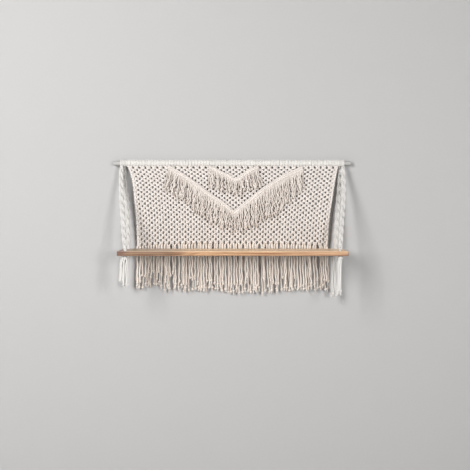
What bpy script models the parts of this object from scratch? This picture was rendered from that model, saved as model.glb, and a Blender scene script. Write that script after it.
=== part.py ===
"""Macrame wall shelf: a knotted cotton net and four plaited ropes hang from a painted
dowel, and the ropes carry a wooden board that stands out in front of the net.

Metres, +Z up, +X to the right, -Y out into the room, +Y towards the wall.
The origin is the middle of the dowel's axis. Lengths below are in millimetres and are
turned into metres with MM.
"""
import math

import bmesh
import bpy
import numpy as np
from mathutils import Vector

MM = 0.001
GAP = 0.3                       # kept between pieces that touch

# Dowel and the hitches round it
DOWEL_LENGTH = 830.0
DOWEL_R = 8.0
DOWEL_CHAMFER = 0.8
ROUND_SIDES = 28                # facets round the dowel and its hitches
HITCH_R = 12.0                  # outer radius of the cord wrapped round the dowel
HEADING_EDGE = 1.5
HEADING_NET = (-369.0, 373.4)   # ends of the net's hitches along the dowel
HEADING_ROPE_LEFT = (-391.0, -369.3)
HEADING_ROPE_RIGHT = (373.7, 392.5)

# Net panel
NET_Y = -4.0                    # middle of the net's thickness
NET_THICKNESS = 9.0
NET_TOP = -12.3
NET_COLUMNS = 30
NET_ROWS = 12
NET_SIDES = (                   # outline, drawn in at both sides
    # height,  left,  right
    (-12.0, -364.5, 372.0),
    (-22.0, -359.5, 368.5),
    (-52.0, -350.0, 362.5),
    (-83.0, -344.5, 357.0),
    (-125.0, -342.0, 351.0),
    (-165.0, -337.5, 345.0),
    (-215.0, -333.5, 339.0),
    (-292.0, -331.0, 333.5),
)
NET_HEM = (                     # lower end of the knotting
    # x, height
    (-331.0, -291.0),
    (-300.0, -286.0),
    (-200.0, -280.5),
    (0.0, -279.0),
    (210.0, -281.0),
    (300.0, -286.5),
    (334.0, -291.5),
)
NET_SWELL = 1.1                 # how far the hanging net waves to and fro
NET_SWELL_GROWTH = 120.0        # distance below the dowel at which the wave is full
NET_SWELLS = (
    # wave length, start in radians, share
    (310.0, 0.7, 1.0),
    (190.0, 2.0, 0.5),
)

# Ridges of double half-hitches, each a V on the net
RIDGE_DEPTH = 7.0
RIDGE_PROFILE = (               # two rolls side by side
    # across, depth
    (-1.0, 0.35),
    (-0.75, 0.85),
    (-0.45, 1.0),
    (0.0, 0.6),
    (0.45, 1.0),
    (0.75, 0.85),
    (1.0, 0.35),
)
RIDGE_TOP = -13.0               # the ridges run out under the dowel
RIDGE_END = 3.0                 # height left at each outer end
LARGE_RIDGE_HALF = 8.5          # half the ridge's height, measured upright
LARGE_RIDGE = (
    # x, height
    (-241.0, -3.5),
    (-223.0, -13.5),
    (-167.0, -45.0),
    (-134.0, -69.0),
    (-96.0, -98.0),
    (-35.0, -138.0),
    (7.5, -173.0),
    (45.0, -142.5),
    (76.0, -118.0),
    (108.0, -92.0),
    (143.0, -69.5),
    (175.5, -50.0),
    (209.0, -33.5),
    (247.0, -17.0),
    (272.0, -6.0),
)
SMALL_RIDGE_HALF = 6.0
SMALL_RIDGE = (
    # x, height
    (-87.0, -9.0),
    (-69.0, -17.5),
    (-48.0, -29.0),
    (-14.0, -44.0),
    (9.5, -59.0),
    (24.5, -52.0),
    (44.5, -38.0),
    (64.5, -25.0),
    (91.0, -13.5),
    (102.0, -9.0),
)

# Fringes, each one comb of strands in groups
STRAND_THICKNESS = 5.0
FRINGE_SPINE = 9.0              # uncut band along the top of each comb
FRINGE_SLOT = 4.0               # gap between two groups of strands
FRINGE_TAPER = 1.4              # how far each side of a group draws in halfway down
FRINGE_CLEAR = 1.2              # below a ridge's sloping underside
HEM_CLEAR = 0.6                 # between the net's hem and its own long strands
TOOTH_ROWS = 3
LARGE_FRINGE_TEETH = 26
LARGE_FRINGE_ENDS = (
    # x, height
    (-234.0, -111.0),
    (-209.0, -111.0),
    (-178.0, -128.0),
    (-160.0, -157.0),
    (-118.0, -170.0),
    (-97.0, -190.0),
    (-62.0, -208.0),
    (-17.0, -223.0),
    (35.0, -230.0),
    (84.0, -215.0),
    (132.0, -184.0),
    (157.0, -172.0),
    (188.0, -138.0),
    (223.0, -110.0),
    (251.0, -91.0),
)
SMALL_FRINGE_TEETH = 9
SMALL_FRINGE_ENDS = (
    # x, height
    (-84.0, -82.0),
    (-50.0, -92.0),
    (-10.0, -101.0),
    (30.0, -104.0),
    (70.0, -93.0),
    (104.0, -80.0),
)
BOTTOM_FRINGE_TEETH = 30
BOTTOM_FRINGE_WIDTH = (-332.0, 334.5)
BOTTOM_FRINGE_FLARE = 11.0      # how far the outer strands swing out by their ends
BOTTOM_FRINGE_ENDS = (
    # x, height
    (-332.0, -441.0),
    (-318.0, -439.0),
    (-280.0, -430.0),
    (-252.0, -432.0),
    (-235.0, -445.0),
    (-147.0, -445.0),
    (-60.0, -450.0),
    (-7.0, -455.0),
    (75.0, -464.0),
    (157.0, -453.0),
    (206.0, -448.0),
    (255.0, -444.0),
    (320.0, -439.0),
    (334.5, -447.0),
)
END_UNEVEN = 4.0                # how much neighbouring groups differ in length
STRAND_SWAY = 1.6               # and how far they hang to one side
SWAY_GROWTH = 1.5               # power by which sway and flare grow down a strand

# Board
BOARD_X = (-377.0, 383.0)
BOARD_Y = (-152.0, -12.0)
BOARD_TOP = -298.0
BOARD_THICKNESS = 15.0
BOARD_UNDERSIDE = BOARD_TOP - BOARD_THICKNESS
BOARD_CORNER = 4.0
BOARD_EDGE = 1.2
HOLE_R = 6.6
HOLE_SIDES = 24
HOLES = {
    # corner: x, y
    "left_front": (-352.0, -135.0),
    "left_rear": (-357.5, -30.0),
    "right_front": (358.5, -135.0),
    "right_rear": (358.5, -30.0),
}

# Ropes: plaits, narrowed at the dowel and again where they enter the board
ROPE_R = 7.0
ROPE_TOP_R = 5.6
ROPE_HOLE_R = 5.6
ROPE_WIDENING = 0.08            # growth of its radius above and below the narrow places
ROPE_POINTS = 15
ROPE_LEAVING = 10.0             # straight stretch out of its hitch
ROPE_UPRIGHT = 9.0              # the rope stands upright from this far above the board
ROPE_ROUTES = {
    # corner: points down the rope as x, y, height, between its hitch and the board
    "left_front": ((-383.5, -27.0, -60.0), (-379.0, -48.5, -110.0), (-373.5, -67.5, -155.0),
                   (-365.5, -92.0, -210.0), (-358.5, -113.5, -258.0), (-354.0, -127.5, -284.0)),
    "left_rear": ((-376.5, -3.5, -60.0), (-371.0, -8.5, -110.0), (-366.5, -13.0, -155.0),
                  (-362.5, -19.5, -210.0), (-359.5, -25.5, -258.0), (-358.2, -28.5, -284.0)),
    "right_front": ((385.5, -27.0, -60.0), (382.5, -48.5, -110.0), (377.0, -67.5, -155.0),
                    (369.5, -92.0, -210.0), (363.0, -113.5, -258.0), (360.0, -127.5, -284.0)),
    "right_rear": ((377.0, -3.5, -60.0), (372.5, -8.5, -110.0), (368.5, -13.0, -155.0),
                   (364.5, -19.5, -210.0), (361.0, -25.5, -258.0), (359.2, -28.5, -284.0)),
}
ROPE_HITCH = {
    # corner: x, angle under the dowel, in degrees out into the room
    "left_front": (-385.2, 36.0),
    "left_rear": (-378.5, -12.0),
    "right_front": (386.6, 36.0),
    "right_rear": (379.6, -12.0),
}

# Knots that the board rests on, and the loose ends below them
KNOT_PROFILE = (
    # radius, depth below the board
    (8.2, 0.3),
    (9.4, 2.5),
    (9.7, 6.5),
    (8.8, 10.5),
    (6.8, 13.0),
)
KNOT_SIDES = 14
TASSEL_LOBES = 6                # six cords side by side
TASSEL_LOBE_DEPTH = 0.14
TASSEL_DRIFT = 0.7              # power by which a tassel drifts towards its end
TASSEL_SHAPE = (
    # share of length, width radius, depth radius
    (0.0, 6.5, 6.0),
    (0.08, 9.5, 7.0),
    (0.2, 10.5, 7.5),
    (0.5, 10.0, 7.5),
    (0.8, 10.0, 7.5),
    (0.94, 11.0, 8.0),
    (1.0, 8.5, 6.5),
)
TASSEL_ENDS = {
    # corner: x, y, height, width against the shape above
    "left_front": (-359.5, -135.0, -413.0, 1.2),
    "left_rear": (-367.0, -31.0, -434.0, 0.85),
    "right_front": (354.0, -135.0, -449.0, 0.75),
    "right_rear": (350.5, -31.0, -470.0, 0.9),
}

# Colour, roughness and metallic value of each material
COTTON = ("natural_cotton", (0.80, 0.74, 0.67), 0.92)
COTTON_ROPE = ("natural_cotton_rope", (0.84, 0.80, 0.74), 0.9)
WHITE_PAINT = ("painted_dowel", (0.78, 0.78, 0.76), 0.55)
OILED_WOOD = ("oiled_wood", (0.62, 0.39, 0.20), 0.5)


def clear_scene():
    for old in list(bpy.data.objects):
        bpy.data.objects.remove(old, do_unlink=True)


def finish_material(finish):
    """Principled material from a name, a colour and a roughness; made once."""
    name, colour, roughness = finish
    material = bpy.data.materials.get(name) or bpy.data.materials.new(name)
    material.use_nodes = True
    shader = material.node_tree.nodes["Principled BSDF"]
    shader.inputs["Base Color"].default_value = (*colour, 1.0)
    shader.inputs["Roughness"].default_value = roughness
    shader.inputs["Metallic"].default_value = 0.0
    return material


def add_object(name, data, finish):
    piece = bpy.data.objects.new(name, data)
    bpy.context.scene.collection.objects.link(piece)
    data.materials.append(finish_material(finish))
    return piece


def mesh_object(name, points, faces, finish, sharp_angle=35.0):
    """Object from points in millimetres and faces that already point outwards."""
    mesh = bpy.data.meshes.new(name)
    mesh.from_pydata([tuple(MM * c for c in p) for p in points], [], faces)
    mesh.validate()
    mesh.shade_smooth()
    mesh.set_sharp_from_angle(angle=math.radians(sharp_angle))
    return add_object(name, mesh, finish)


def slab(name, outline, faces, front, back, finish):
    """Closed slab over a patch of upright (x, z) points. front and back give each point's
    depth y on the two sheets, which are joined round the patch's open edges. The faces run
    anticlockwise as seen from the room."""
    count = len(outline)
    points = [(x, y, z) for (x, z), y in zip(outline, front)]
    points += [(x, y, z) for (x, z), y in zip(outline, back)]
    directed = {(a, b) for f in faces for a, b in zip(f, f[1:] + f[:1])}
    sides = [(b, a, a + count, b + count) for a, b in sorted(directed) if (b, a) not in directed]
    behind = [tuple(i + count for i in reversed(f)) for f in faces]
    return mesh_object(name, points, [tuple(f) for f in faces] + behind + sides, finish)


def grid_faces(columns, rows):
    """Quads of a grid of columns by rows cells, whose points run row by row downwards."""
    wide = columns + 1
    return [[(r + 1) * wide + c, (r + 1) * wide + c + 1, r * wide + c + 1, r * wide + c]
            for r in range(rows) for c in range(columns)]


def table_value(table, key, column=1):
    """Value of a table's column at a key in its first column, on straight lines between rows."""
    rows = sorted(table)
    return float(np.interp(key, [r[0] for r in rows], [r[column] for r in rows]))


def net_depth(x, z):
    """Depth y of the net's middle: a slight wave that grows from the dowel down."""
    wave = sum(share * math.sin(2 * math.pi * x / length + start)
               for length, start, share in NET_SWELLS)
    grown = min(1.0, (NET_TOP - z) / NET_SWELL_GROWTH)
    return NET_Y + NET_SWELL * grown * wave


def net_front(x, z):
    return net_depth(x, z) - NET_THICKNESS / 2


def ring_points(radius, x, sides=ROUND_SIDES):
    """Ring round the dowel's axis at a place x along it."""
    turn = [2 * math.pi * i / sides for i in range(sides)]
    return [(x, radius * math.sin(a), radius * math.cos(a)) for a in turn]


def tube_from_rings(name, rings, finish, closed_ends):
    """Surface through equal rings: capped at both ends, or closed on itself when the last
    ring is followed by the first. The mesh's normals are made to point outwards."""
    sides = len(rings[0])
    points = [p for ring in rings for p in ring]
    last = len(rings) - 1 if closed_ends else len(rings)
    faces = []
    for k in range(last):
        a, b = k * sides, ((k + 1) % len(rings)) * sides
        faces += [(a + i, a + (i + 1) % sides, b + (i + 1) % sides, b + i) for i in range(sides)]
    if closed_ends:
        faces.append(tuple(range(sides))[::-1])
        faces.append(tuple(range((len(rings) - 1) * sides, len(rings) * sides)))
    piece = mesh_object(name, points, faces, finish)
    shape = bmesh.new()
    shape.from_mesh(piece.data)
    bmesh.ops.recalc_face_normals(shape, faces=shape.faces)
    shape.to_mesh(piece.data)
    shape.free()
    return piece


def build_dowel():
    end = DOWEL_LENGTH / 2
    profile = ((DOWEL_R - DOWEL_CHAMFER, -end), (DOWEL_R, -end + DOWEL_CHAMFER),
               (DOWEL_R, end - DOWEL_CHAMFER), (DOWEL_R - DOWEL_CHAMFER, end))
    rings = [ring_points(radius, x) for radius, x in profile]
    tube_from_rings("dowel", rings, WHITE_PAINT, closed_ends=True)


def build_heading(name, span, finish):
    """Sleeve of hitches round the dowel, its outer edges rounded off."""
    left, right = span
    bore, rim = DOWEL_R + GAP, HITCH_R - HEADING_EDGE
    profile = ((bore, left), (rim, left), (HITCH_R, left + HEADING_EDGE),
               (HITCH_R, right - HEADING_EDGE), (rim, right), (bore, right))
    rings = [ring_points(radius, x) for radius, x in profile]
    tube_from_rings(name, rings, finish, closed_ends=False)


def build_net():
    """Knotted panel: a sheet between the two drawn-in sides, its hem lower at the edges."""
    outline = []
    for row in range(NET_ROWS + 1):
        for column in range(NET_COLUMNS + 1):
            across = column / NET_COLUMNS
            hem_x = NET_HEM[0][0] + across * (NET_HEM[-1][0] - NET_HEM[0][0])
            z = NET_TOP + (row / NET_ROWS) * (table_value(NET_HEM, hem_x) - NET_TOP)
            left, right = (table_value(NET_SIDES, z, side) for side in (1, 2))
            outline.append((left + across * (right - left), z))
    middle = [net_depth(x, z) for x, z in outline]
    half = NET_THICKNESS / 2
    slab("net_panel", outline, grid_faces(NET_COLUMNS, NET_ROWS),
         [y - half for y in middle], [y + half for y in middle], COTTON)


def ridge_stations(route, half, step=14.0):
    """Places x along a ridge, with every bend of its route among them. The ridge runs out
    under the dowel, where only a low end is left below RIDGE_TOP."""
    fine = np.linspace(route[0][0], route[-1][0], 800)
    low = np.array([table_value(route, x) - half for x in fine])
    inside = fine[low < RIDGE_TOP - RIDGE_END]
    bends = [x for x, _ in route if inside[0] < x < inside[-1]]
    stops = [float(inside[0]), *bends, float(inside[-1])]
    stations = []
    for a, b in zip(stops, stops[1:]):
        parts = max(1, round((b - a) / step))
        stations += [a + (b - a) * i / parts for i in range(parts)]
    return stations + [stops[-1]]


def build_ridge(name, route, half):
    """V-shaped ridge of two rolls lying on the net's face, GAP in front of it."""
    stations = ridge_stations(route, half)
    outline, front, back = [], [], []
    for across, depth in reversed(RIDGE_PROFILE):
        for x in stations:
            low = table_value(route, x) - half
            high = min(low + 2 * half, RIDGE_TOP)
            z = (low + high) / 2 + across * (high - low) / 2
            seat = net_front(x, z) - GAP
            outline.append((x, z))
            front.append(seat - depth * RIDGE_DEPTH)
            back.append(seat)
    slab(name, outline, grid_faces(len(stations) - 1, len(RIDGE_PROFILE) - 1), front, back, COTTON)


def comb(name, teeth, span, top, ends, front, flare=0.0, lowest=None):
    """Fringe as one comb: an uncut spine along the height top(x), and groups of strands that
    hang from it down to the heights in the table ends. Neighbouring groups differ a little
    in length and sway to one side. front(x, z) is the depth of the comb's face; flare is how
    far the outermost groups swing out by their ends; lowest is where a V's point lies, which
    gives the group there a middle column."""
    left, right = span
    pitch = (right - left + FRINGE_SLOT) / teeth
    middle, reach = (left + right) / 2, (right - left) / 2
    outline, faces = [], []
    spine_end = None
    for tooth in range(teeth):
        x_left = left + tooth * pitch
        x_right = x_left + pitch - FRINGE_SLOT
        centre = (x_left + x_right) / 2
        across = [x_left, x_right]
        if lowest is not None and x_left < lowest < x_right:
            across.insert(1, lowest)
        wide = len(across)
        end = table_value(ends, centre) + END_UNEVEN * math.sin(2.4 * tooth + 1.0)
        sway = STRAND_SWAY * math.sin(1.7 * tooth + 0.4) + flare * (centre - middle) / reach
        root = min(top(x) for x in across) - FRINGE_SPINE
        base = len(outline)
        outline += [(x, top(x)) for x in across]
        for row in range(TOOTH_ROWS + 1):
            down = row / TOOTH_ROWS
            keep = 1 - 2 * FRINGE_TAPER * math.sin(math.pi * down) / (x_right - x_left)
            shift = sway * down ** SWAY_GROWTH
            z = root + down * (end - root)
            outline += [(centre + (x - centre) * keep + shift, z) for x in across]
        for row in range(TOOTH_ROWS + 1):
            for a in range(base + wide * row, base + wide * (row + 1) - 1):
                faces.append([a + wide, a + wide + 1, a + 1, a])
        if spine_end is not None:
            faces.append([spine_end[1], base + wide, base, spine_end[0]])
        spine_end = (base + wide - 1, base + 2 * wide - 1)
    depth = [front(x, z) for x, z in outline]
    slab(name, outline, faces, depth, [y + STRAND_THICKNESS for y in depth], COTTON)


def ridge_fringe(name, teeth, ends, route, half):
    """Comb under a ridge, lying GAP in front of the net."""
    stations = ridge_stations(route, half)
    span = (max(ends[0][0], stations[0] + 2), min(ends[-1][0], stations[-1] - 2))

    def top(x):
        return table_value(route, x) - half - FRINGE_CLEAR

    def front(x, z):
        return net_front(x, z) - GAP - STRAND_THICKNESS

    point = min(route, key=lambda row: row[1])
    comb(name, teeth, span, top, ends, front, lowest=point[0])


def build_bottom_fringe():
    """The net's cords left long: a comb in the net's own plane, hanging from its hem."""
    def top(x):
        return table_value(NET_HEM, x) - HEM_CLEAR

    def front(x, z):
        return net_depth(x, z) - STRAND_THICKNESS / 2

    comb("fringe_bottom", BOTTOM_FRINGE_TEETH, BOTTOM_FRINGE_WIDTH, top, BOTTOM_FRINGE_ENDS,
         front, flare=BOTTOM_FRINGE_FLARE)


def build_board():
    """Plank with rounded corners, eased edges and four drilled holes."""
    (x0, x1), (y0, y1) = BOARD_X, BOARD_Y
    mesh = bpy.data.meshes.new("board")
    shape = bmesh.new()
    bmesh.ops.create_cube(shape, size=1.0)
    for v in shape.verts:
        v.co = Vector(((x0 + x1) / 2 + v.co.x * (x1 - x0), (y0 + y1) / 2 + v.co.y * (y1 - y0),
                       BOARD_TOP - BOARD_THICKNESS / 2 + v.co.z * BOARD_THICKNESS)) * MM
    upright = [e for e in shape.edges if abs(e.verts[0].co.z - e.verts[1].co.z) > MM]
    bmesh.ops.bevel(shape, geom=upright, offset=BOARD_CORNER * MM, segments=4, profile=0.5,
                    affect="EDGES")
    shape.to_mesh(mesh)
    shape.free()
    board = add_object("board", mesh, OILED_WOOD)
    eased = board.modifiers.new("eased edges", "BEVEL")
    eased.width = BOARD_EDGE * MM
    eased.segments = 2
    eased.limit_method = "ANGLE"
    eased.angle_limit = math.radians(50.0)
    for corner, (x, y) in HOLES.items():
        drill = drill_cutter(f"drill_{corner}", x, y)
        hole = board.modifiers.new(drill.name, "BOOLEAN")
        hole.operation = "DIFFERENCE"
        hole.object = drill


def drill_cutter(name, x, y):
    """Upright cylinder through the board, hidden: it only cuts a hole."""
    mesh = bpy.data.meshes.new(name)
    shape = bmesh.new()
    bmesh.ops.create_cone(shape, cap_ends=True, segments=HOLE_SIDES, radius1=HOLE_R * MM,
                          radius2=HOLE_R * MM, depth=3 * BOARD_THICKNESS * MM)
    bmesh.ops.translate(shape, verts=shape.verts,
                        vec=Vector((x, y, BOARD_TOP - BOARD_THICKNESS / 2)) * MM)
    shape.to_mesh(mesh)
    shape.free()
    cutter = bpy.data.objects.new(name, mesh)
    bpy.context.scene.collection.objects.link(cutter)
    cutter.hide_render = True
    cutter.display_type = "WIRE"
    return cutter


def smooth_points(route, count):
    """Points spaced evenly along a Catmull-Rom curve through the route's points."""
    ends = np.vstack((2 * route[0] - route[1], route, 2 * route[-1] - route[-2]))
    curve = []
    for a, b, c, d in zip(ends, ends[1:], ends[2:], ends[3:]):
        for t in np.linspace(0, 1, 16, endpoint=False):
            curve.append(0.5 * (2 * b + (c - a) * t + (2 * a - 5 * b + 4 * c - d) * t ** 2
                                + (3 * b - a - 3 * c + d) * t ** 3))
    curve.append(route[-1])
    curve = np.array(curve)
    walked = np.concatenate(([0], np.cumsum(np.linalg.norm(np.diff(curve, axis=0), axis=1))))
    places = np.linspace(0, walked[-1], count)
    return np.column_stack([np.interp(places, walked, curve[:, axis]) for axis in range(3)])


def rope_radius(z):
    """Radius of a rope at a height: narrow at its hitch, full between, narrow at its hole."""
    below = -HITCH_R - z
    top = min(ROPE_R, ROPE_TOP_R + max(0.0, below * ROPE_WIDENING))
    above = z - BOARD_TOP - ROPE_UPRIGHT
    return min(top, ROPE_HOLE_R + max(0.0, above * ROPE_WIDENING))


def build_rope(corner):
    """Rope from its hitch under the dowel, through its hole, to the board's underside."""
    x, angle = ROPE_HITCH[corner]
    lean = math.radians(angle)
    away = HITCH_R + 2 * GAP
    hitch = np.array((x, -away * math.sin(lean), -away * math.cos(lean)))
    leaving = hitch + ROPE_LEAVING * np.array((0.0, -math.sin(lean), -math.cos(lean)))
    hole_x, hole_y = HOLES[corner]
    route = np.vstack((hitch, leaving, np.array(ROPE_ROUTES[corner]),
                       (hole_x, hole_y, BOARD_TOP + ROPE_UPRIGHT)))
    name = f"rope_{corner}"
    curve = bpy.data.curves.new(name, "CURVE")
    curve.dimensions = "3D"
    curve.bevel_depth = MM
    curve.bevel_resolution = 3
    curve.use_fill_caps = True
    points = np.vstack((smooth_points(route, ROPE_POINTS), (hole_x, hole_y, BOARD_UNDERSIDE)))
    line = curve.splines.new("POLY")
    line.points.add(len(points) - 1)
    for point, place in zip(line.points, points):
        point.co = (*(place * MM), 1.0)
        point.radius = rope_radius(place[2])
    add_object(name, curve, COTTON_ROPE)


def build_knot(corner):
    """Round knot right under a hole; the board rests on it."""
    x, y = HOLES[corner]
    turn = [2 * math.pi * i / KNOT_SIDES for i in range(KNOT_SIDES)]
    rings = [[(x + r * math.cos(a), y + r * math.sin(a), BOARD_UNDERSIDE - deep) for a in turn]
             for r, deep in KNOT_PROFILE]
    tube_from_rings(f"knot_{corner}", rings, COTTON_ROPE, closed_ends=True)


def build_tassel(corner):
    """Loose cord ends below a knot: rings with a lobe for each cord, drifting to the end."""
    x, y = HOLES[corner]
    top = BOARD_UNDERSIDE - KNOT_PROFILE[-1][1] - GAP
    end_x, end_y, end_z, width = TASSEL_ENDS[corner]
    sides = 3 * TASSEL_LOBES
    rings = []
    for share, wide, deep in TASSEL_SHAPE:
        drift = share ** TASSEL_DRIFT
        centre = (x + (end_x - x) * drift, y + (end_y - y) * drift, top + (end_z - top) * share)
        ring = []
        for i in range(sides):
            a = 2 * math.pi * i / sides
            lobe = 1 - TASSEL_LOBE_DEPTH * (i % 3 == 0)
            ring.append((centre[0] + width * wide * lobe * math.cos(a),
                         centre[1] + deep * lobe * math.sin(a), centre[2]))
        rings.append(ring)
    tube_from_rings(f"tassel_{corner}", rings, COTTON_ROPE, closed_ends=True)


def main():
    clear_scene()
    build_dowel()
    build_heading("heading_net", HEADING_NET, COTTON)
    build_heading("heading_rope_left", HEADING_ROPE_LEFT, COTTON_ROPE)
    build_heading("heading_rope_right", HEADING_ROPE_RIGHT, COTTON_ROPE)
    build_net()
    build_ridge("chevron_large", LARGE_RIDGE, LARGE_RIDGE_HALF)
    build_ridge("chevron_small", SMALL_RIDGE, SMALL_RIDGE_HALF)
    ridge_fringe("fringe_large", LARGE_FRINGE_TEETH, LARGE_FRINGE_ENDS, LARGE_RIDGE,
                 LARGE_RIDGE_HALF)
    ridge_fringe("fringe_small", SMALL_FRINGE_TEETH, SMALL_FRINGE_ENDS, SMALL_RIDGE,
                 SMALL_RIDGE_HALF)
    build_bottom_fringe()
    build_board()
    for corner in HOLES:
        build_rope(corner)
        build_knot(corner)
        build_tassel(corner)


main()
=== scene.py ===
"""Looks of the macrame wall shelf: every cord of the net, the ridges, the fringes and the
plaited ropes is worked out here, round the frame that holds the solids.

Lengths are in millimetres, with +X to the right, -Y out into the room and +Z up, from the
middle of the dowel's axis. MM turns them into metres when a piece is made. The camera, the
lights and the backdrop are in metres.
A cord is a tube: rings of points carried along its path, with the paths as an array of
(path, point, xyz).
"""

import math

import bpy
import numpy as np
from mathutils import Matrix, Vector


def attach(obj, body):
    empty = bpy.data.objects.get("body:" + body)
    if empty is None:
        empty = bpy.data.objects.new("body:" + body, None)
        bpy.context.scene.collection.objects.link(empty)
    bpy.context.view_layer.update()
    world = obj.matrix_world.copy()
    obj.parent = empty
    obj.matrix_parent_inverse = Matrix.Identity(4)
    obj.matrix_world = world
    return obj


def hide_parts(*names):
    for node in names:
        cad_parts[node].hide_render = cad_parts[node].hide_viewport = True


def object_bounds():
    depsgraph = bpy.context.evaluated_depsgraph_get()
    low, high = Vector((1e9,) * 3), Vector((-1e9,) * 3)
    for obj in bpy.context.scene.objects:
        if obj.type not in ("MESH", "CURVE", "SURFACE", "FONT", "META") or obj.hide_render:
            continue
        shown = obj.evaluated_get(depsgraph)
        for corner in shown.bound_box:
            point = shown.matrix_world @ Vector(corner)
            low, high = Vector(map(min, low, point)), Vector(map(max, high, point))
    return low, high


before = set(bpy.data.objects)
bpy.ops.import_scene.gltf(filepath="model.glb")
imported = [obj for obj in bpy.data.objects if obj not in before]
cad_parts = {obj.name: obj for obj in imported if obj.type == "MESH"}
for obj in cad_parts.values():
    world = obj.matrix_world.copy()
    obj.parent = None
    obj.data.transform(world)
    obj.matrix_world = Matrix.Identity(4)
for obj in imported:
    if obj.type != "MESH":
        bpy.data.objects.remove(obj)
cad_box = [[float(c) for c in corner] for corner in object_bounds()]

MM = 0.001
CORD_R = 2.05                   # cord of the ridges and fringes; the net's is NET_CORD_R
random = np.random.default_rng(41)


# ---------------------------------------------------------------- camera, light, backdrop

CAMERA_PLACE = (0.0105, -2.300, -0.146)
CAMERA_LENS = 50.3              # in millimetres, as the sensor is
CAMERA_SENSOR = 36.0
CAMERA_SHIFT = -0.064           # leaves the shelf a little above the middle of the view
CAMERA_FAR = 50.0
LIGHT_AIM = (0.0, 0.0, -0.2)
LAMP_WHITE = (1.0, 0.99, 0.98)
LAMP_WHITER = (1.0, 0.995, 0.99)
BACK_PLACE = (0.9, 2.4, 1.0)
BACK_SIZE = 2.2
SKY_STRENGTH = 0.04
WALL_GAP = 0.0012               # between the shelf and the wall
WALL_SIDE = 2.6
WALL_TOP = 1.3
WALL_COLOUR = (0.45, 0.447, 0.446)
FLOOR_Z = -1.12
FLOOR_SIDE = 6.0
FLOOR_COLOUR = (0.66, 0.65, 0.64)


def place_camera():
    camera = bpy.data.objects.new("room_camera", bpy.data.cameras.new("room_camera"))
    bpy.context.scene.collection.objects.link(camera)
    camera.location = CAMERA_PLACE
    camera.rotation_euler = (math.radians(90.0), 0.0, 0.0)
    camera.data.lens = CAMERA_LENS
    camera.data.sensor_width = CAMERA_SENSOR
    camera.data.shift_y = CAMERA_SHIFT
    camera.data.clip_end = CAMERA_FAR
    bpy.context.scene.camera = camera


def soft_light(name, place, width, height, power, colour):
    """Rectangular lamp at a place, turned towards the shelf. Gives the lamp's data."""
    lamp = bpy.data.lights.new(name, "AREA")
    lamp.shape = "RECTANGLE"
    lamp.size, lamp.size_y = width, height
    lamp.energy, lamp.color = power, colour
    holder = bpy.data.objects.new(name, lamp)
    bpy.context.scene.collection.objects.link(holder)
    holder.location = place
    holder.rotation_euler = (Vector(LIGHT_AIM) - Vector(place)).to_track_quat("-Z", "Y").to_euler()
    return lamp


def plain_backdrop(name, corners, colour, one_sided):
    """Flat sheet between four corners. A one-sided one lets the view and the light through
    from behind."""
    mesh = bpy.data.meshes.new(name)
    mesh.from_pydata(corners, [], [(0, 1, 2, 3)])
    sheet = bpy.data.objects.new(name, mesh)
    bpy.context.scene.collection.objects.link(sheet)
    material = bpy.data.materials.new(name)
    material.use_nodes = True
    nodes, links = material.node_tree.nodes, material.node_tree.links
    shader = nodes["Principled BSDF"]
    shader.inputs["Base Color"].default_value = (*colour, 1.0)
    shader.inputs["Roughness"].default_value = 0.95
    shader.inputs["Specular IOR Level"].default_value = 0.1
    if one_sided:
        clear = nodes.new("ShaderNodeBsdfTransparent")
        side = nodes.new("ShaderNodeNewGeometry")
        either = nodes.new("ShaderNodeMixShader")
        links.new(side.outputs["Backfacing"], either.inputs[0])
        links.new(shader.outputs[0], either.inputs[1])
        links.new(clear.outputs[0], either.inputs[2])
        links.new(either.outputs[0], nodes["Material Output"].inputs["Surface"])
        sheet.visible_shadow = False
    mesh.materials.append(material)


def light_the_room():
    world = bpy.data.worlds.new("room")
    bpy.context.scene.world = world
    world.use_nodes = True
    sky = world.node_tree.nodes["Background"]
    sky.inputs["Color"].default_value = (*LAMP_WHITE, 1.0)
    sky.inputs["Strength"].default_value = SKY_STRENGTH
    world.cycles.sampling_method = "NONE"
    soft_light("left_light", (-1.90, -2.62, 0.85), 1.0, 1.9, 111.0, LAMP_WHITE)
    soft_light("right_light", (1.52, -3.02, 0.20), 0.7, 1.0, 54.0, LAMP_WHITER)
    # Both back lamps shine through the one-sided wall. The stronger one doesn't bounce, or it
    # would fill the gaps between the net and the wall; the weaker one fills them a little.
    back = soft_light("back_light", BACK_PLACE, BACK_SIZE, BACK_SIZE, 22.0, LAMP_WHITE)
    back.cycles.max_bounces = 0
    soft_light("back_glow", BACK_PLACE, BACK_SIZE, BACK_SIZE, 14.0, LAMP_WHITE)
    wall = cad_box[1][1] + WALL_GAP
    plain_backdrop("wall", [(-WALL_SIDE, wall, FLOOR_Z), (WALL_SIDE, wall, FLOOR_Z),
                            (WALL_SIDE, wall, WALL_TOP), (-WALL_SIDE, wall, WALL_TOP)],
                   WALL_COLOUR, True)
    plain_backdrop("floor", [(-FLOOR_SIDE, -FLOOR_SIDE, FLOOR_Z), (FLOOR_SIDE, -FLOOR_SIDE, FLOOR_Z),
                             (FLOOR_SIDE, FLOOR_SIDE, FLOOR_Z), (-FLOOR_SIDE, FLOOR_SIDE, FLOOR_Z)],
                   FLOOR_COLOUR, False)
    bpy.context.scene.view_settings.view_transform = "Standard"


# ---------------------------------------------------------------- finishes

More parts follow.
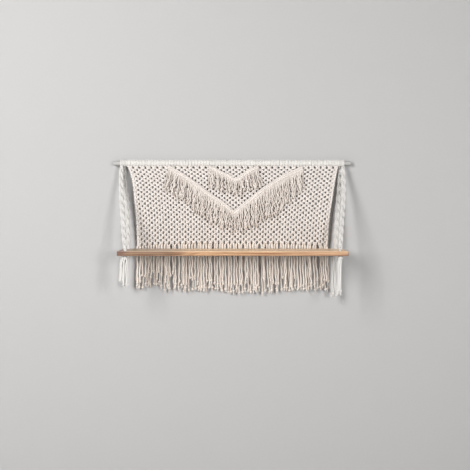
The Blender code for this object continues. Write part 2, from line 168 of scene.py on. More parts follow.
COTTONS = {
    # finish: colour of the crowns, colour in the grooves (painted shade, and the dark end of each cord's
    # drift)
    "natural_cotton": ((0.85, 0.805, 0.77), (0.735, 0.68, 0.637)),
    # The fringes' cottons are the net's painted darker and warmer, as shade and as light bounced from the
    # board, with paler crowns and much darker grooves for their layers' painted light and shade.
    "natural_cotton_fringe_painted_shade": ((0.92, 0.845, 0.775), (0.55, 0.47, 0.40)),
    "natural_cotton_rope": ((0.74, 0.73, 0.715), (0.54, 0.525, 0.50)),
    "natural_cotton_heading": ((0.845, 0.83, 0.805), (0.66, 0.64, 0.605)),
    # painted darker and warmer as shade, like the long fringe's cotton
    "natural_cotton_strands_painted_shade": ((0.885, 0.83, 0.785), (0.55, 0.485, 0.435)),
}
PLIES = 3.0                     # in a twisted cord
PAINT = ((0.33, 0.325, 0.315), (0.50, 0.495, 0.48))
OILED = {
    # part of the board: dark grain, pale grain
    "pale": ((0.27, 0.122, 0.055), (0.60, 0.375, 0.21)),
    "heart": ((0.14, 0.072, 0.042), (0.34, 0.21, 0.127)),
    # darker, redder left end
    "dark_end": ((0.105, 0.048, 0.036), (0.21, 0.122, 0.09)),
    # painted highlight: the top face painted paler, with its grain
    "painted_highlight": ((0.76, 0.52, 0.32), (0.95, 0.71, 0.48)),
}
# colour of the painted highlight over the heartwood and over the darker left end
HIGHLIGHT_ON_HEART = (0.56, 0.41, 0.285)
HIGHLIGHT_ON_DARK_END = (0.34, 0.22, 0.17)
# painted shade along the board's lower edge
PAINTED_SHADE_LOWER_EDGE = (0.23, 0.125, 0.065)
PORES = (0.22, 0.11, 0.05)
BOARD_MIDDLE = (0.0, -0.082, -0.3055)


def node(tree, kind, inputs=(), **settings):
    """New node with its settings and inputs; an input is a value or another node's output."""
    made = tree.nodes.new(kind)
    for key, value in settings.items():
        setattr(made, key, value)
    for key, value in dict(inputs).items():
        if isinstance(value, bpy.types.NodeSocket):
            tree.links.new(value, made.inputs[key])
        else:
            made.inputs[key].default_value = value
    return made


def maths(tree, operation, *values):
    return node(tree, "ShaderNodeMath", enumerate(values), operation=operation).outputs[0]


def blended(tree, share, first, second):
    """Colour between two, by a share from 0 to 1."""
    mix = node(tree, "ShaderNodeMix", data_type="RGBA")
    tree.links.new(share, mix.inputs["Factor"])
    for socket, value in ((mix.inputs[6], first), (mix.inputs[7], second)):
        if isinstance(value, bpy.types.NodeSocket):
            tree.links.new(value, socket)
        else:
            socket.default_value = (*value, 1.0)
    return mix.outputs[2]


def share_between(tree, value, start, end, most=1.0, interpolation="LINEAR"):
    """Share that goes from 0 where a value is at start to the most where it is at end."""
    inputs = {"Value": value, "From Min": start, "From Max": end, "To Min": 0.0, "To Max": most}
    return node(tree, "ShaderNodeMapRange", inputs, interpolation_type=interpolation).outputs[0]


def stretched_noise(tree, place, scale, **inputs):
    """Noise with its own scale along each axis."""
    along = node(tree, "ShaderNodeMapping", {"Vector": place, "Scale": scale})
    return node(tree, "ShaderNodeTexNoise", {"Vector": along.outputs[0], "Scale": 1.0, **inputs}).outputs[0]


def roughened(tree, shader, strength, distance, height):
    """Small relief on a finish, with its distance in metres."""
    bump = node(tree, "ShaderNodeBump", {"Strength": strength, "Distance": distance, "Height": height})
    tree.links.new(bump.outputs[0], shader.inputs["Normal"])


def new_finish(name, roughness, specular, sheen):
    material = bpy.data.materials.new(name)
    material.use_nodes = True
    shader = material.node_tree.nodes["Principled BSDF"]
    shader.inputs["Roughness"].default_value = roughness
    shader.inputs["Specular IOR Level"].default_value = specular
    shader.inputs["Sheen Weight"].default_value = sheen
    shader.inputs["Sheen Roughness"].default_value = 0.5
    return material, material.node_tree, shader


def cotton(name):
    """Twisted cotton: the plies' grooves run round the cord as a sine of its length and turn,
    with fine fibres across them, and the colour drifts from cord to cord and place to place.
    The grooves are also painted darker, as shade, and the shade attribute adds each cord's
    random drift and the fringes' painted light and shade."""
    crowns, grooves = COTTONS[name]
    material, tree, shader = new_finish(name, 0.92, 0.15, 0.22)
    uv = node(tree, "ShaderNodeUVMap", uv_map="UVMap")
    parts = node(tree, "ShaderNodeSeparateXYZ", {0: uv.outputs[0]})
    turn = maths(tree, "ADD", parts.outputs[0], parts.outputs[1])
    ply = maths(tree, "SINE", maths(tree, "MULTIPLY", turn, 2.0 * math.pi * PLIES))
    stretch = node(tree, "ShaderNodeVectorMath", {0: uv.outputs[0], 1: (9.0, 26.0, 1.0)},
                   operation="MULTIPLY")
    fibre = node(tree, "ShaderNodeTexNoise", {"Vector": stretch.outputs[0], "Scale": 1.0, "Detail": 3.0})
    place = node(tree, "ShaderNodeTexCoord").outputs["Object"]
    drift = node(tree, "ShaderNodeTexNoise", {"Vector": place, "Scale": 26.0, "Detail": 3.0})
    # The shade attribute: each cord's random drift, plus the fringes' painted light and shade.
    cord = node(tree, "ShaderNodeAttribute", attribute_name="shade")
    # Painted shade: the ply's grooves pull the colour towards the darker groove colour.
    share = maths(tree, "MULTIPLY_ADD", ply, 0.16, 0.62)
    share = maths(tree, "MULTIPLY_ADD", fibre.outputs[0], 0.35, maths(tree, "SUBTRACT", share, 0.17))
    share = maths(tree, "MULTIPLY_ADD", drift.outputs[0], 0.5, maths(tree, "SUBTRACT", share, 0.25))
    share = maths(tree, "ADD", share, cord.outputs["Fac"])
    share = node(tree, "ShaderNodeClamp", {0: share}).outputs[0]
    tree.links.new(blended(tree, share, grooves, crowns), shader.inputs["Base Color"])
    roughened(tree, shader, 0.6, 0.0004, maths(tree, "MULTIPLY_ADD", fibre.outputs[0], 0.8, ply))
    return material


def painted_wood():
    """Pale paint brushed along the rod, a little thin in places."""
    material, tree, shader = new_finish("painted_dowel", 0.5, 0.4, 0.0)
    place = node(tree, "ShaderNodeTexCoord").outputs["Object"]
    brush = stretched_noise(tree, place, (14.0, 300.0, 300.0), Detail=4.0)
    share = node(tree, "ShaderNodeClamp", {0: maths(tree, "MULTIPLY_ADD", brush, 1.6, -0.3)}).outputs[0]
    tree.links.new(blended(tree, share, *PAINT), shader.inputs["Base Color"])
    roughened(tree, shader, 0.3, 0.0003, brush)
    return material


def board_grain(tree, place, depth):
    """Growth rings cut lengthways, as a sine of the depth into the log, with long streaks."""
    wander = stretched_noise(tree, place, (3.2, 16.0, 30.0), Detail=2.0)
    ring = maths(tree, "MULTIPLY_ADD", wander, 0.055, depth)
    ring = maths(tree, "SINE", maths(tree, "MULTIPLY", ring, 900.0))
    streak = stretched_noise(tree, place, (4.0, 70.0, 150.0), Detail=5.0, Roughness=0.65)
    grain = maths(tree, "MULTIPLY_ADD", ring, 0.20, maths(tree, "MULTIPLY_ADD", streak, 3.6, -1.35))
    return node(tree, "ShaderNodeClamp", {0: grain}).outputs[0], streak


def oiled_wood():
    """Oiled board: rings and streaks along it with fine pores, darker heartwood towards its
    left end, a darker, redder end beyond it, a painted highlight paler on the top face and
    painted shade darker along the lower edge. Places are in metres from the board's middle."""
    material, tree, shader = new_finish("oiled_wood", 0.42, 0.5, 0.0)
    place = node(tree, "ShaderNodeTexCoord").outputs["Object"]
    to_middle = tuple(-c for c in BOARD_MIDDLE)
    centred = node(tree, "ShaderNodeMapping", {"Vector": place, "Location": to_middle}).outputs[0]
    x, y, z = node(tree, "ShaderNodeSeparateXYZ", {0: centred}).outputs
    depth = maths(tree, "MULTIPLY_ADD", z, 1.1, maths(tree, "MULTIPLY", y, 0.55))
    grain, streak = board_grain(tree, centred, depth)
    ragged_x = maths(tree, "MULTIPLY_ADD", streak, 0.16, x)
    in_heart = share_between(tree, ragged_x, -0.02, -0.16, interpolation="SMOOTHSTEP")
    # The board grows darker and redder towards its left end.
    in_dark_end = share_between(tree, ragged_x, -0.255, -0.285, interpolation="SMOOTHSTEP")
    sides, heartwood, dark_end_colour, top = (blended(tree, grain, *OILED[part])
                                      for part in ("pale", "heart", "dark_end", "painted_highlight"))
    colour = blended(tree, in_dark_end, blended(tree, in_heart, sides, heartwood), dark_end_colour)
    top = blended(tree, in_dark_end, blended(tree, in_heart, top, HIGHLIGHT_ON_HEART), HIGHLIGHT_ON_DARK_END)
    # Painted highlight: the top face is painted paler.
    colour = blended(tree, share_between(tree, z, 0.0048, 0.0070, 0.9), colour, top)
    # Painted shade: the lower edge is painted darker.
    colour = blended(tree, share_between(tree, z, -0.0045, -0.0068, 0.85), colour, PAINTED_SHADE_LOWER_EDGE)
    pore = stretched_noise(tree, centred, (60.0, 1400.0, 1400.0), Detail=2.0)
    colour = blended(tree, share_between(tree, pore, 0.62, 0.74, 0.35), colour, PORES)
    tree.links.new(colour, shader.inputs["Base Color"])
    roughened(tree, shader, 0.35, 0.0003, maths(tree, "MULTIPLY_ADD", pore, -0.6, grain))
    return material


# ---------------------------------------------------------------- surfaces

def smooth_lines(points, count):
    """Smooth curves through rows of points. Each stretch is the cubic whose slope at a point
    is half the step between that point's two neighbours."""
    points = np.asarray(points, float)
    before = 2.0 * points[..., :1, :] - points[..., 1:2, :]
    after = 2.0 * points[..., -1:, :] - points[..., -2:-1, :]
    rows = np.concatenate([before, points, after], axis=-2)
    place = np.linspace(0.0, points.shape[-2] - 1.0, count)
    start = np.minimum(place.astype(int), points.shape[-2] - 2)
    t = (place - start)[:, None]
    a, b, c, d = (rows[..., start + k, :] for k in range(4))
    return 0.5 * (2 * b + (c - a) * t + (2 * a - 5 * b + 4 * c - d) * t**2 + (3 * b - a - 3 * c + d) * t**3)


def unit(vectors):
    return vectors / np.maximum(np.linalg.norm(vectors, axis=-1, keepdims=True), 1e-9)


def frames_along(paths, first=(0.05, 1.0, 0.02)):
    """Directions along and across each path. The one across is carried from ring to ring,
    less its share along the new direction, so a tube doesn't twist."""
    steps = unit(np.diff(paths, axis=1))
    along = unit(np.concatenate([steps[:, :1], steps[:, :-1] + steps[:, 1:], steps[:, -1:]], axis=1))
    across = np.empty_like(paths)
    last = np.broadcast_to(np.array(first), along[:, 0].shape)
    for ring in range(paths.shape[1]):
        last = unit(last - (last * along[:, ring]).sum(-1, keepdims=True) * along[:, ring])
        across[:, ring] = last
    return along, across, np.cross(along, across)


def tubes(paths, radius, sides=6, twist_length=13.0, shade=0.05, tone_and_shade=0.0):
    """Round tubes: point = path + radius (across cos a + other sin a), closed by a pole at
    each end. The UV map is the length in twists by the turn round the tube. The shade is one
    random number a tube plus tone_and_shade, which may differ from ring to ring and holds
    the painted light and shade of the fringes' layers."""
    paths = np.asarray(paths, float)
    count, rings = paths.shape[:2]
    along, across, other = frames_along(paths)
    radius = np.broadcast_to(np.asarray(radius, float), (count, rings))
    angle = 2.0 * np.pi * np.arange(sides) / sides
    circle = across[:, :, None] * np.cos(angle)[:, None] + other[:, :, None] * np.sin(angle)[:, None]
    body = paths[:, :, None] + radius[:, :, None, None] * circle
    start = paths[:, 0] - along[:, 0] * radius[:, :1] * 0.5
    end = paths[:, -1] + along[:, -1] * radius[:, -1:] * 0.5
    points = np.concatenate([body.reshape(-1, 3), start, end])
    ring = np.arange(count * rings).reshape(count, rings) * sides
    k = np.arange(sides)
    after = (k + 1) % sides
    low, high = ring[:, :-1, None], ring[:, 1:, None]
    quads = np.stack([low + k, low + after, high + after, high + k], axis=-1).reshape(-1, 4)
    poles = len(body.reshape(-1, 3)) + np.arange(2 * count).reshape(2, count, 1) + 0 * k
    caps = np.concatenate([
        np.stack([ring[:, :1] + after, ring[:, :1] + k, poles[0]], axis=-1).reshape(-1, 3),
        np.stack([ring[:, -1:] + k, ring[:, -1:] + after, poles[1]], axis=-1).reshape(-1, 3)])
    gone = np.linalg.norm(np.diff(paths, axis=1), axis=2).cumsum(axis=1) / twist_length
    gone = np.concatenate([np.zeros((count, 1)), gone], axis=1) + random.random((count, 1))
    u_low = np.broadcast_to(gone[:, :-1, None], (count, rings - 1, sides))
    u_high = np.broadcast_to(gone[:, 1:, None], (count, rings - 1, sides))
    v_low = np.broadcast_to(k / sides, u_low.shape)
    v_high = np.broadcast_to((k + 1) / sides, u_low.shape)
    quad_uv = np.stack([u_low, v_low, u_low, v_high, u_high, v_high, u_high, v_low], axis=-1).reshape(-1, 2)
    cap_uv = []
    for u, v in ((gone[:, :1] + 0 * k, (k + 1, k)), (gone[:, -1:] + 0 * k, (k, k + 1))):
        v_first, v_second = (np.broadcast_to(part / sides, u.shape) for part in v)
        middle = 0.5 * (v_first + v_second)
        cap_uv.append(np.stack([u, v_first, u, v_second, u, middle], axis=-1).reshape(-1, 2))
    tint = random.normal(0.0, shade, (count, 1)) + np.broadcast_to(tone_and_shade, (count, rings))
    tint = np.concatenate([np.repeat(tint.ravel(), sides), tint[:, 0], tint[:, -1]])
    return points, quads, caps, quad_uv, np.concatenate(cap_uv), tint


def joined(*surfaces):
    """One surface from several: each one's faces count on from the last one's points."""
    offset = np.cumsum([0] + [len(s[0]) for s in surfaces[:-1]])
    points, quads, caps, quad_uv, cap_uv, tint = zip(*surfaces)
    return (np.concatenate(points),
            np.concatenate([q + o for q, o in zip(quads, offset)]),
            np.concatenate([c + o for c, o in zip(caps, offset)]),
            np.concatenate(quad_uv), np.concatenate(cap_uv), np.concatenate(tint))


def make_piece(name, surface, finish, hides):
    """Mesh object at the origin from a surface in millimetres. It rides on the shelf's one
    body and stands for the solids that it hides."""
    points, quads, caps, quad_uv, cap_uv, tint = surface
    mesh = bpy.data.meshes.new(name)
    corners = np.concatenate([quads.ravel(), caps.ravel()])
    starts = np.concatenate([4 * np.arange(len(quads)), 4 * len(quads) + 3 * np.arange(len(caps))])
    mesh.vertices.add(len(points))
    mesh.vertices.foreach_set("co", (MM * points).astype(np.float32).ravel())
    mesh.loops.add(len(corners))
    mesh.loops.foreach_set("vertex_index", corners.astype(np.int32))
    mesh.polygons.add(len(starts))
    mesh.polygons.foreach_set("loop_start", starts.astype(np.int32))
    layer = mesh.uv_layers.new(name="UVMap")
    layer.uv.foreach_set("vector", np.concatenate([quad_uv, cap_uv]).astype(np.float32).ravel())
    mesh.attributes.new("shade", "FLOAT", "POINT").data.foreach_set("value", tint.astype(np.float32))
    mesh.update(calc_edges=True)
    mesh.shade_smooth()
    mesh.materials.append(finish)
    piece = bpy.data.objects.new(name, mesh)
    bpy.context.scene.collection.objects.link(piece)
    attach(piece, "root")
    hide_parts(*hides)
    return piece


# ---------------------------------------------------------------- the net

KNOTS = 35                      # square knots in the first row and in every other row
CORDS = 4 * KNOTS
EDGE_KNOT = 6.6                 # from the net's side to the middle of the outer knots
ROWS = 33
NET_Y = -4.0
FIRST_ROW = -16.6
LAST_ROW_ABOVE_HEM = 4.5
KNOTTING = 275.0                # height of the knotting, near enough to find the sides at a row
ROW_GROWTH = 0.12               # rows open out towards the hem
NET_START = (-3.0, -11.0)       # depth and height where the cords leave their hitches
HEADING_LEFT = -369.0
HEADING_WIDTH = 742.4
NET_SIDES = np.array((          # outline, drawn in at both sides
    # height,  left,  right
    (-12.0, -364.5, 372.0),
    (-22.0, -359.5, 368.5),
    (-52.0, -350.0, 362.5),
    (-83.0, -344.5, 357.0),
    (-125.0, -342.0, 351.0),
    (-165.0, -337.5, 345.0),
    (-215.0, -333.5, 339.0),
    (-292.0, -331.0, 333.5),
))
NET_HEM = np.array((            # lower end of the knotting
    # x, height
    (-331.0, -291.0),
    (-300.0, -286.0),
    (-200.0, -280.5),
    (0.0, -279.0),
    (210.0, -281.0),
    (300.0, -286.5),
    (334.0, -291.5),
))
# a little thinner, so the sheet's area keeps within its limit
NET_CORD_R = 0.985 * CORD_R     # a little thinner than the other cords
SWELL = 1.1                     # how far the hanging net waves to and fro
SWELL_START = -12.3             # the waves grow from here
SWELL_GROWTH = 120.0            # to their full size so far below
SWELLS = (
    # length, start of the wave in radians, share
    (310.0, 0.7, 1.0),
    (190.0, 2.0, 0.5),
)
KNOT_STRAY_X = 0.4              # how unevenly the knots sit, lean (in degrees) and are sized
KNOT_STRAY_Z = 0.35
KNOT_LEAN = 3.0
KNOT_UNEVEN = 0.035
KNOT_SEED = 900
KNOT_PITCH = 19.4               # where knots are this far apart, they are as wide as drawn
KNOT_GIVE = 0.45                # share of a knot's width that follows how far apart they are
EDGE_CORD_IN = 2.0              # from the net's side to its first cord's middle
EDGE_CORD_PITCH = 3.2
EDGE_CORD_REACH = 3.4           # above and below the middle of its row

# A square knot's two working cords, as x, depth, height from its middle, going down.
# The first crosses in front and comes back; the second goes behind and loops in front.
FRONT_WORKER = np.array((
    (-4.6, -1.0, 3.8), (-3.0, -3.1, 2.4), (0.2, -3.8, 2.1), (3.4, -3.1, 2.0), (5.0, -1.7, 1.5),
    (5.5, -0.8, 0.0),
    (5.0, -1.7, -1.5), (3.4, -3.1, -2.0), (0.2, -3.8, -2.1), (-3.0, -3.1, -2.4), (-4.6, -0.8, -3.7)))
BACK_WORKER = np.array((
    (4.6, -0.4, 3.9), (3.6, 2.6, 2.6), (-0.2, 3.6, 2.1), (-3.6, 2.4, 1.9), (-5.2, 0.2, 1.5),
    (-5.7, -1.0, 0.0),
    (-5.2, 0.2, -1.5), (-3.6, 2.4, -1.9), (-0.2, 3.6, -2.1), (3.6, 2.6, -2.6), (4.6, -0.4, -3.8)))
FILLER = np.array(((-1.7, 0.0, 2.8), (-1.7, 0.0, 0.0), (-1.7, 0.0, -2.8)))
MIRRORED = np.array((-1.0, 1.0, 1.0))


def swell_at(x, z):
    """Depth of the net's middle: sines along it whose size grows from the dowel down."""
    wave = sum(share * np.sin(2.0 * np.pi * x / length + start) for length, start, share in SWELLS)
    return NET_Y + SWELL * np.clip((SWELL_START - z) / SWELL_GROWTH, 0.0, 1.0) * wave


def net_sides(z):
    """The net's left and right side at a height."""
    table = NET_SIDES[::-1]
    return np.interp(z, table[:, 0], table[:, 1]), np.interp(z, table[:, 0], table[:, 2])


def knot_x(place, z):
    """x of the middle of a knot, numbered from the left, with the outer knots on the sides."""
    left, right = net_sides(z)
    return left + EDGE_KNOT + place * (right - left - 2.0 * EDGE_KNOT) / (KNOTS - 1)


def row_height(row, place):
    """Height of a row of knots: the rows sag from a straight first one to the hem's curve."""
    gone = row / (ROWS - 1.0)
    gone = gone * (1.0 - ROW_GROWTH * (1.0 - gone))
    x = knot_x(place, NET_SIDES[0, 0] - KNOTTING * gone)
    last = np.interp(x, NET_HEM[:, 0], NET_HEM[:, 1]) + LAST_ROW_ABOVE_HEM
    return FIRST_ROW + gone * (last - FIRST_ROW)


def net_cords(numbers):
    """Paths of some of the net's cords through all its rows. In even rows knot k holds cords
    4k to 4k+3 and in odd rows cords 4k+2 to 4k+5, so each cord works in one row and is the
    filler in the next. A knot's cords are its shape turned, sized and put at its place, and
    the knots of odd rows are tied the other way round."""
    paths = []
    for row in range(ROWS):
        odd = row % 2
        seat = (numbers - 2 * odd) % 4
        knot = (numbers - 2 * odd) // 4
        place = knot + 0.5 * odd
        wobble = np.random.default_rng(KNOT_SEED + row).normal(0.0, 1.0, (KNOTS + 2, 4))[knot + 1]
        working = seat[len(numbers) // 2] in (0, 3)
        shapes = np.empty((len(numbers), len(FRONT_WORKER) if working else len(FILLER), 3))
        first, last = FRONT_WORKER, BACK_WORKER
        if odd:
            first, last = BACK_WORKER * MIRRORED, FRONT_WORKER * MIRRORED
        for number, shape in ((0, first), (1, FILLER), (2, FILLER * MIRRORED), (3, last)):
            if (number in (0, 3)) == working:
                shapes[seat == number] = shape
        at_edge = (knot < 0) | (knot >= KNOTS - odd)
        z = row_height(row, np.clip(place, 0.0, KNOTS - 1.0)) + KNOT_STRAY_Z * wobble[:, 1]
        lean = np.radians(KNOT_LEAN) * wobble[:, 2]
        size = 1.0 + KNOT_UNEVEN * wobble[:, 3]
        x = knot_x(place, z) + KNOT_STRAY_X * wobble[:, 0]
        pitch = knot_x(1.0, z) - knot_x(0.0, z)
        wide = size * (1.0 - KNOT_GIVE + KNOT_GIVE * pitch / KNOT_PITCH)
        placed = np.empty_like(shapes)
        local_x, local_z = shapes[..., 0] * wide[:, None], shapes[..., 2] * size[:, None]
        placed[..., 0] = x[:, None] + local_x - lean[:, None] * local_z
        placed[..., 1] = swell_at(x, z)[:, None] + shapes[..., 1]
        placed[..., 2] = z[:, None] + local_z + lean[:, None] * local_x
        # The outer cords miss every other row and run straight down the side.
        left, right = net_sides(z)
        inward = EDGE_CORD_IN + EDGE_CORD_PITCH * np.where(numbers < 2, numbers, CORDS - 1 - numbers)
        edge_x = np.where(numbers < 2, left + inward, right - inward)
        straight = np.linspace(EDGE_CORD_REACH, -EDGE_CORD_REACH, shapes.shape[1])
        placed[at_edge, :, 0] = edge_x[at_edge, None]
        placed[at_edge, :, 1] = NET_Y
        placed[at_edge, :, 2] = z[at_edge, None] + straight
        paths.append(placed)
    return np.concatenate(paths, axis=1)


def hanging_place(number):
    """Where each cord of the net meets the dowel's underside."""
    return HEADING_LEFT + (number + 0.5) * HEADING_WIDTH / CORDS


def build_net(finish):
    """The outer two and the inner two of each four cords, as two pieces."""
    made = []
    for name, fours in (("net_cords_outer", (0, 3)), ("net_cords_inner", (1, 2))):
        numbers = np.array([n for n in range(CORDS) if n % 4 in fours])
        top = np.empty((len(numbers), 1, 3))
        top[:, 0, 0] = hanging_place(numbers)
        top[:, 0, 1:] = NET_START
        surface = tubes(np.concatenate([top, net_cords(numbers)], axis=1), NET_CORD_R, shade=0.03)
        made.append(make_piece(name, surface, finish, ["net_panel"]))
    return made


# ---------------------------------------------------------------- hitches on the dowel

DOWEL_R = 8.0
DOWEL_HALF = 415.0
DOWEL_END = (
    # distance from the end, radius
    (0.0, 6.6),
    (0.25, 7.35),
    (0.9, 7.85),
    (2.0, DOWEL_R),
)
WRAP_R = 2.55                   # a wrap's own radius, so that it meets its neighbours
ROPE_WRAP_R = WRAP_R + 0.2
WRAP_CENTRE = DOWEL_R + 2.05
WRAP_STRAY = 0.12               # how unevenly the wraps lie along the dowel
BAR_OUT = 1.2                   # the bar lies over the wraps
ROPE_HEADINGS = {
    # side: where its wraps start and end
    "left": (-391.0, -369.3),
    "right": (373.7, 392.5),
}
ROPE_WRAPS = 4


def lark_heads(first, second):
    """One cord folded over the dowel for each pair of places: up from the net under the
    dowel, round its front, top and back, across behind as a bar, and the same way back."""
    turn = np.radians((8.0, 34.0, 62.0, 90.0, 118.0, 146.0, 174.0, 202.0, 230.0, 258.0, 284.0, 306.0))
    bar = np.radians((318.0, 322.0, 318.0))
    angle = np.concatenate([turn, bar, turn[::-1]])
    over = np.concatenate([np.zeros(len(turn)), np.ones(len(bar)), np.zeros(len(turn))])
    reach = WRAP_CENTRE + BAR_OUT * over
    share = np.concatenate([np.zeros(len(turn)), (0.2, 0.5, 0.8), np.ones(len(turn))])
    x = first[:, None] + (second - first)[:, None] * share
    return np.stack([x, np.broadcast_to(-reach * np.sin(angle), x.shape),
                     np.broadcast_to(-reach * np.cos(angle), x.shape)], axis=-1)


def build_hitches(finish, rope_finish):
    """The net's hitches along the dowel, and each side's rope hitches beyond them."""
    x = hanging_place(np.arange(CORDS)) + random.normal(0.0, WRAP_STRAY, CORDS)
    heads = lark_heads(x[::2], x[1::2])
    make_piece("hitches_net", tubes(heads, WRAP_R, sides=7, shade=0.03), finish,
               ["heading_net"])
    for side, (start, end) in ROPE_HEADINGS.items():
        x = start + (np.arange(ROPE_WRAPS) + 0.5) * (end - start) / ROPE_WRAPS
        heads = lark_heads(x[::2], x[1::2])
        make_piece("hitches_rope_" + side, tubes(heads, ROPE_WRAP_R, sides=8, shade=0.03), rope_finish,
                   ["heading_rope_" + side])


def build_dowel(finish):
    """Round rod: a profile of x and radius turned about its own axis, closed by end poles."""
    left = [(gone - DOWEL_HALF, radius) for gone, radius in DOWEL_END]
    middle = [(x, DOWEL_R) for x in (-210.0, 0.0, 210.0)]
    right = [(-x, radius) for x, radius in reversed(left)]
    profile = np.array(left + middle + right)
    path = np.stack([profile[:, 0], np.zeros(len(profile)), np.zeros(len(profile))], axis=1)
    surface = tubes(path[None], profile[:, 1], sides=64, twist_length=100.0, shade=0.0)
    points = surface[0]
    points[:, 0] = np.clip(points[:, 0], -DOWEL_HALF, DOWEL_HALF)
    return make_piece("dowel_rod", surface, finish, ["dowel"])


# ---------------------------------------------------------------- ridges and fringes

LARGE_RIDGE = np.array((
    # x, height
    (-223.0, -13.5), (-167.0, -45.0), (-134.0, -69.0), (-96.0, -98.0), (-35.0, -138.0), (7.5, -173.0),
    (45.0, -142.5), (76.0, -118.0), (108.0, -92.0), (143.0, -69.5), (175.5, -50.0), (209.0, -33.5),
    (247.0, -17.0)))
SMALL_RIDGE = np.array((
    # x, height
    (-80.0, -13.5), (-69.0, -17.5), (-48.0, -29.0), (-14.0, -44.0), (9.5, -59.0),
    (24.5, -52.0), (44.5, -38.0), (64.5, -25.0), (91.0, -13.5)))
LARGE_FRINGE_ENDS = np.array((
    # x, height
    (-234.0, -88.0), (-216.0, -103.0), (-198.0, -113.0), (-178.0, -126.0), (-148.0, -150.0), (-118.0, -168.0),
    (-97.0, -190.0), (-62.0, -208.0), (-17.0, -223.0), (35.0, -230.0), (84.0, -215.0),
    (132.0, -184.0), (157.0, -172.0), (188.0, -138.0), (223.0, -110.0), (251.0, -91.0)))
SMALL_FRINGE_ENDS = np.array((
    # x, height
    (-84.0, -82.0), (-50.0, -92.0), (-10.0, -101.0), (30.0, -104.0), (70.0, -93.0), (104.0, -80.0)))
BOTTOM_FRINGE_ENDS = np.array((
    # x, height
    (-332.0, -441.0), (-318.0, -439.0), (-280.0, -430.0), (-252.0, -432.0), (-235.0, -445.0),
    (-147.0, -445.0), (-60.0, -448.0), (-7.0, -451.0), (75.0, -459.0), (157.0, -451.0),
    (206.0, -448.0), (255.0, -444.0), (320.0, -439.0), (334.5, -447.0)))
FRINGE_SIDES = (-335.5, 337.5)
PARTINGS = (
    # where the long fringe stands apart: x, how far
    (-212.0, 4.6), (-195.0, 4.4), (-157.0, 2.0), (-119.0, 1.8), (-66.0, 2.2), (-19.0, 2.6), (38.0, 1.8),
    (95.5, 4.8), (160.0, 2.0), (232.0, 2.2), (301.0, 4.8))
PARTING_FADE = 9.0              # how far from a parting its push reaches
RIDGES = {
    # size: line, from it to the middle of each roll, how far the rolls' cord winds out
    "large": (LARGE_RIDGE, 3.9, 2.2),
    "small": (SMALL_RIDGE, 3.0, 1.7),
}
RIDGE_FRINGES = {
    # size: line, its strands' ends, how far below the line they start
    "large": (LARGE_RIDGE, LARGE_FRINGE_ENDS, 7.0),
    "small": (SMALL_RIDGE, SMALL_FRINGE_ENDS, 5.0),
}
RIDGE_Y = -11.6                 # middle of the rolls, in front of the net
RIDGE_PITCH = 2.0 * CORD_R - 0.1
RIDGE_TURN_POINTS = 9
RIDGE_TONE = -0.3               # the rolls are drawn a little darker than the net
STRAND_SPACING = 3.6
STRAND_RINGS = 22
STRAND_SWAY = 3.0
STRAND_WAVES = (38.0, 16.0)     # lengths of a strand's waves
STRAND_BUNCH = (3, 7)           # from three to six strands
STRAND_DRAWN = 0.62             # how far apart the strands of a bunch stay, as a share
STRAND_FRONT_PAINTED_SHADE = -0.12       # painted shade added to the shade attribute of a ridge fringe's front strands, then its rear ones
STRAND_REAR_PAINTED_SHADE = -0.46
FRAY = 1.15
LONG_FRONT_PAINTED_LIGHT = 0.38          # painted light added to the long fringe's front cords, then painted shade to its rear ones
LONG_REAR_PAINTED_SHADE = -0.24
LONG_WAVES = (
    # length, sideways and in depth
    (62.0, 1.5, 0.8),
    (27.0, 0.6, 0.5),
)
PAIR_APART = 1.35               # from the middle of a pair to each of its cords
LONG_DRIFT = 2.5                # how far the long fringe's ends lie to the right of its top
LONG_FLARE = 4.0                # and how far its sides spread
LONG_UNEVEN = 4.0
LONG_FRONT_OUT = -2.7           # depth of the front and rear cords from the net's middle
LONG_REAR_IN = 1.7
END_KNOT_TURNS = 1.4
END_KNOT_RINGS = 11


def even_steps(line, step):
    """Points a step apart along a line of points."""
    gone = np.concatenate([[0.0], np.linalg.norm(np.diff(line, axis=0), axis=1).cumsum()])
    place = np.linspace(0.0, gone[-1], max(2, int(round(gone[-1] / step)) + 1))
    return np.stack([np.interp(place, gone, line[:, c]) for c in range(line.shape[1])], axis=1)


def hitched_roll(line, wind, slant):
    """One cord wound round a line: point = line + wind (across cos t + other sin t), where t
    makes a turn in each pitch of length. slant leans the turns along the line."""
    steps = even_steps(line, RIDGE_PITCH / RIDGE_TURN_POINTS)[None]
    along, across, other = frames_along(steps)
    turn = 2.0 * np.pi * np.arange(steps.shape[1])[None, :, None] / RIDGE_TURN_POINTS
    path = steps + wind * (across * np.cos(turn) + other * np.sin(turn))
    path = path + slant * along * np.cos(turn)
    return tubes(path, CORD_R, shade=0.0, tone_and_shade=RIDGE_TONE)


def build_ridge(size, finish):
    """Two rolls of half-hitches side by side, above and below the ridge's line."""
    ridge, spread, wind = RIDGES[size]
    flat = np.stack([ridge[:, 0], np.full(len(ridge), RIDGE_Y), ridge[:, 1]], axis=1)
    rolls = [hitched_roll(flat + np.array((0.0, 0.0, side * spread)), wind, side) for side in (1.0, -1.0)]
    return make_piece("ridge_" + size, joined(*rolls), finish, ["chevron_" + size])


